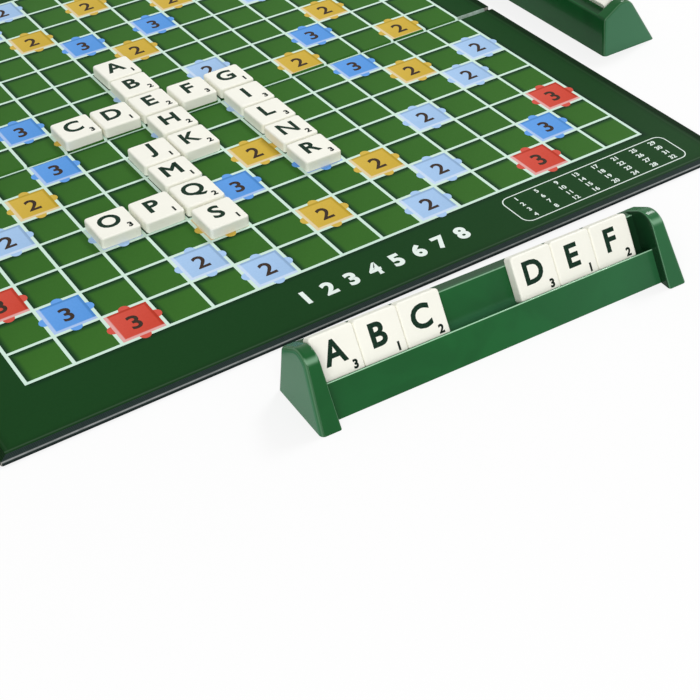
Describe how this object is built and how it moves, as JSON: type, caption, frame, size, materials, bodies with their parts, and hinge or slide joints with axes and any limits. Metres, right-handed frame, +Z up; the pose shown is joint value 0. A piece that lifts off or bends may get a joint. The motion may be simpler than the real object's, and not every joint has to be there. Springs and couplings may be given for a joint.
{
  "type": "word board game",
  "caption": "Folding square-grid game board laid flat with letter tiles on it, and two sloped tile racks holding more tiles beside it.",
  "frame": {"origin": "on the table under the middle column of squares, halfway along the near half's underside", "axes": "+Z up; +X along the rows of squares, to the right of the player at the near rack; +Y from the near player across the fold to the far half"},
  "size_m": [0.405, 0.4196, 0.0262],
  "materials": {
    "greyboard": "matte",
    "wrap_paper": "linen grain",
    "printed_sheet": "satin",
    "tile_plastic": "satin",
    "rack_plastic": "gloss"
  },
  "bodies": {
    "near_half": {"board_core_near": "greyboard", "board_wrap_near": "wrap_paper", "board_print_near": "printed_sheet", "fold_strip": "wrap_paper", "fold_valley": "printed_sheet"},
    "far_half": {"board_core_far": "greyboard", "board_wrap_far": "wrap_paper", "board_print_far": "printed_sheet"},
    "near_rack": {"near_rack": "rack_plastic"},
    "far_rack": {"far_rack": "rack_plastic"},
    "tile_row09_col07": {"tile_row09_col07": "tile_plastic"},
    "tile_row09_col09": {"tile_row09_col09": "tile_plastic"},
    "tile_row10_col06": {"tile_row10_col06": "tile_plastic"},
    "tile_row10_col07": {"tile_row10_col07": "tile_plastic"},
    "tile_row10_col09": {"tile_row10_col09": "tile_plastic"},
    "tile_row11_col06": {"tile_row11_col06": "tile_plastic"},
    "tile_row11_col09": {"tile_row11_col09": "tile_plastic"},
    "tile_row12_col04": {"tile_row12_col04": "tile_plastic"},
    "tile_row12_col05": {"tile_row12_col05": "tile_plastic"},
    "tile_row12_col06": {"tile_row12_col06": "tile_plastic"},
    "tile_row12_col09": {"tile_row12_col09": "tile_plastic"},
    "tile_row13_col06": {"tile_row13_col06": "tile_plastic"},
    "tile_row06_col07": {"tile_row06_col07": "tile_plastic"},
    "tile_row07_col07": {"tile_row07_col07": "tile_plastic"},
    "tile_row08_col05": {"tile_row08_col05": "tile_plastic"},
    "tile_row08_col06": {"tile_row08_col06": "tile_plastic"},
    "tile_row08_col07": {"tile_row08_col07": "tile_plastic"},
    "tile_row08_col08": {"tile_row08_col08": "tile_plastic"},
    "tile_row08_col09": {"tile_row08_col09": "tile_plastic"},
    "near_rack_tile_1": {"near_rack_tile_1": "tile_plastic"},
    "near_rack_tile_2": {"near_rack_tile_2": "tile_plastic"},
    "near_rack_tile_3": {"near_rack_tile_3": "tile_plastic"},
    "near_rack_tile_4": {"near_rack_tile_4": "tile_plastic"},
    "near_rack_tile_5": {"near_rack_tile_5": "tile_plastic"},
    "near_rack_tile_6": {"near_rack_tile_6": "tile_plastic"},
    "far_rack_tile_1": {"far_rack_tile_1": "tile_plastic"},
    "far_rack_tile_2": {"far_rack_tile_2": "tile_plastic"},
    "far_rack_tile_3": {"far_rack_tile_3": "tile_plastic"},
    "far_rack_tile_4": {"far_rack_tile_4": "tile_plastic"},
    "far_rack_tile_5": {"far_rack_tile_5": "tile_plastic"},
    "far_rack_tile_6": {"far_rack_tile_6": "tile_plastic"},
    "far_rack_tile_7": {"far_rack_tile_7": "tile_plastic"}
  },
  "joints": [
    {"name": "fold", "type": "hinge", "parent": "near_half", "child": "far_half", "pos_m": [0, 0.0899, -0.00005], "axis": [1, 0, 0], "range_deg": [-179, 0], "deforming": ["fold_strip", "fold_valley"]},
    {"name": "lift_tile_row09_col07", "type": "slide", "parent": "near_half", "child": "tile_row09_col07", "axis": [0, 0, 1], "range_m": [0, 0.04]},
    {"name": "lift_tile_row09_col09", "type": "slide", "parent": "near_half", "child": "tile_row09_col09", "axis": [0, 0, 1], "range_m": [0, 0.04]},
    {"name": "lift_tile_row10_col06", "type": "slide", "parent": "near_half", "child": "tile_row10_col06", "axis": [0, 0, 1], "range_m": [0, 0.04]},
    {"name": "lift_tile_row10_col07", "type": "slide", "parent": "near_half", "child": "tile_row10_col07", "axis": [0, 0, 1], "range_m": [0, 0.04]},
    {"name": "lift_tile_row10_col09", "type": "slide", "parent": "near_half", "child": "tile_row10_col09", "axis": [0, 0, 1], "range_m": [0, 0.04]},
    {"name": "lift_tile_row11_col06", "type": "slide", "parent": "near_half", "child": "tile_row11_col06", "axis": [0, 0, 1], "range_m": [0, 0.04]},
    {"name": "lift_tile_row11_col09", "type": "slide", "parent": "near_half", "child": "tile_row11_col09", "axis": [0, 0, 1], "range_m": [0, 0.04]},
    {"name": "lift_tile_row12_col04", "type": "slide", "parent": "near_half", "child": "tile_row12_col04", "axis": [0, 0, 1], "range_m": [0, 0.04]},
    {"name": "lift_tile_row12_col05", "type": "slide", "parent": "near_half", "child": "tile_row12_col05", "axis": [0, 0, 1], "range_m": [0, 0.04]},
    {"name": "lift_tile_row12_col06", "type": "slide", "parent": "near_half", "child": "tile_row12_col06", "axis": [0, 0, 1], "range_m": [0, 0.04]},
    {"name": "lift_tile_row12_col09", "type": "slide", "parent": "near_half", "child": "tile_row12_col09", "axis": [0, 0, 1], "range_m": [0, 0.04]},
    {"name": "lift_tile_row13_col06", "type": "slide", "parent": "near_half", "child": "tile_row13_col06", "axis": [0, 0, 1], "range_m": [0, 0.04]},
    {"name": "lift_tile_row06_col07", "type": "slide", "parent": "far_half", "child": "tile_row06_col07", "axis": [0, 0, 1], "range_m": [0, 0.04]},
    {"name": "lift_tile_row07_col07", "type": "slide", "parent": "far_half", "child": "tile_row07_col07", "axis": [0, 0, 1], "range_m": [0, 0.04]},
    {"name": "lift_tile_row08_col05", "type": "slide", "parent": "far_half", "child": "tile_row08_col05", "axis": [0, 0, 1], "range_m": [0, 0.04]},
    {"name": "lift_tile_row08_col06", "type": "slide", "parent": "far_half", "child": "tile_row08_col06", "axis": [0, 0, 1], "range_m": [0, 0.04]},
    {"name": "lift_tile_row08_col07", "type": "slide", "parent": "far_half", "child": "tile_row08_col07", "axis": [0, 0, 1], "range_m": [0, 0.04]},
    {"name": "lift_tile_row08_col08", "type": "slide", "parent": "far_half", "child": "tile_row08_col08", "axis": [0, 0, 1], "range_m": [0, 0.04]},
    {"name": "lift_tile_row08_col09", "type": "slide", "parent": "far_half", "child": "tile_row08_col09", "axis": [0, 0, 1], "range_m": [0, 0.04]},
    {"name": "lift_near_rack", "type": "slide", "parent": "near_half", "child": "near_rack", "axis": [0, 0, 1], "range_m": [0, 0.06]},
    {"name": "lift_far_rack", "type": "slide", "parent": "near_half", "child": "far_rack", "axis": [0, 0, 1], "range_m": [0, 0.06]},
    {"name": "slide_near_rack_tile_1", "type": "slide", "parent": "near_rack", "child": "near_rack_tile_1", "axis": [0.0194, 0.5296, 0.848], "range_m": [0, 0.03]},
    {"name": "slide_near_rack_tile_2", "type": "slide", "parent": "near_rack", "child": "near_rack_tile_2", "axis": [0.0194, 0.5296, 0.848], "range_m": [0, 0.03]},
    {"name": "slide_near_rack_tile_3", "type": "slide", "parent": "near_rack", "child": "near_rack_tile_3", "axis": [0.0194, 0.5296, 0.848], "range_m": [0, 0.03]},
    {"name": "slide_near_rack_tile_4", "type": "slide", "parent": "near_rack", "child": "near_rack_tile_4", "axis": [0.0194, 0.5296, 0.848], "range_m": [0, 0.03]},
    {"name": "slide_near_rack_tile_5", "type": "slide", "parent": "near_rack", "child": "near_rack_tile_5", "axis": [0.0194, 0.5296, 0.848], "range_m": [0, 0.03]},
    {"name": "slide_near_rack_tile_6", "type": "slide", "parent": "near_rack", "child": "near_rack_tile_6", "axis": [0.0194, 0.5296, 0.848], "range_m": [0, 0.03]},
    {"name": "slide_far_rack_tile_1", "type": "slide", "parent": "far_rack", "child": "far_rack_tile_1", "axis": [-0.5299, 0, 0.848], "range_m": [0, 0.03]},
    {"name": "slide_far_rack_tile_2", "type": "slide", "parent": "far_rack", "child": "far_rack_tile_2", "axis": [-0.5299, 0, 0.848], "range_m": [0, 0.03]},
    {"name": "slide_far_rack_tile_3", "type": "slide", "parent": "far_rack", "child": "far_rack_tile_3", "axis": [-0.5299, 0, 0.848], "range_m": [0, 0.03]},
    {"name": "slide_far_rack_tile_4", "type": "slide", "parent": "far_rack", "child": "far_rack_tile_4", "axis": [-0.5299, 0, 0.848], "range_m": [0, 0.03]},
    {"name": "slide_far_rack_tile_5", "type": "slide", "parent": "far_rack", "child": "far_rack_tile_5", "axis": [-0.5299, 0, 0.848], "range_m": [0, 0.03]},
    {"name": "slide_far_rack_tile_6", "type": "slide", "parent": "far_rack", "child": "far_rack_tile_6", "axis": [-0.5299, 0, 0.848], "range_m": [0, 0.03]},
    {"name": "slide_far_rack_tile_7", "type": "slide", "parent": "far_rack", "child": "far_rack_tile_7", "axis": [-0.5299, 0, 0.848], "range_m": [0, 0.03]}
  ]
}
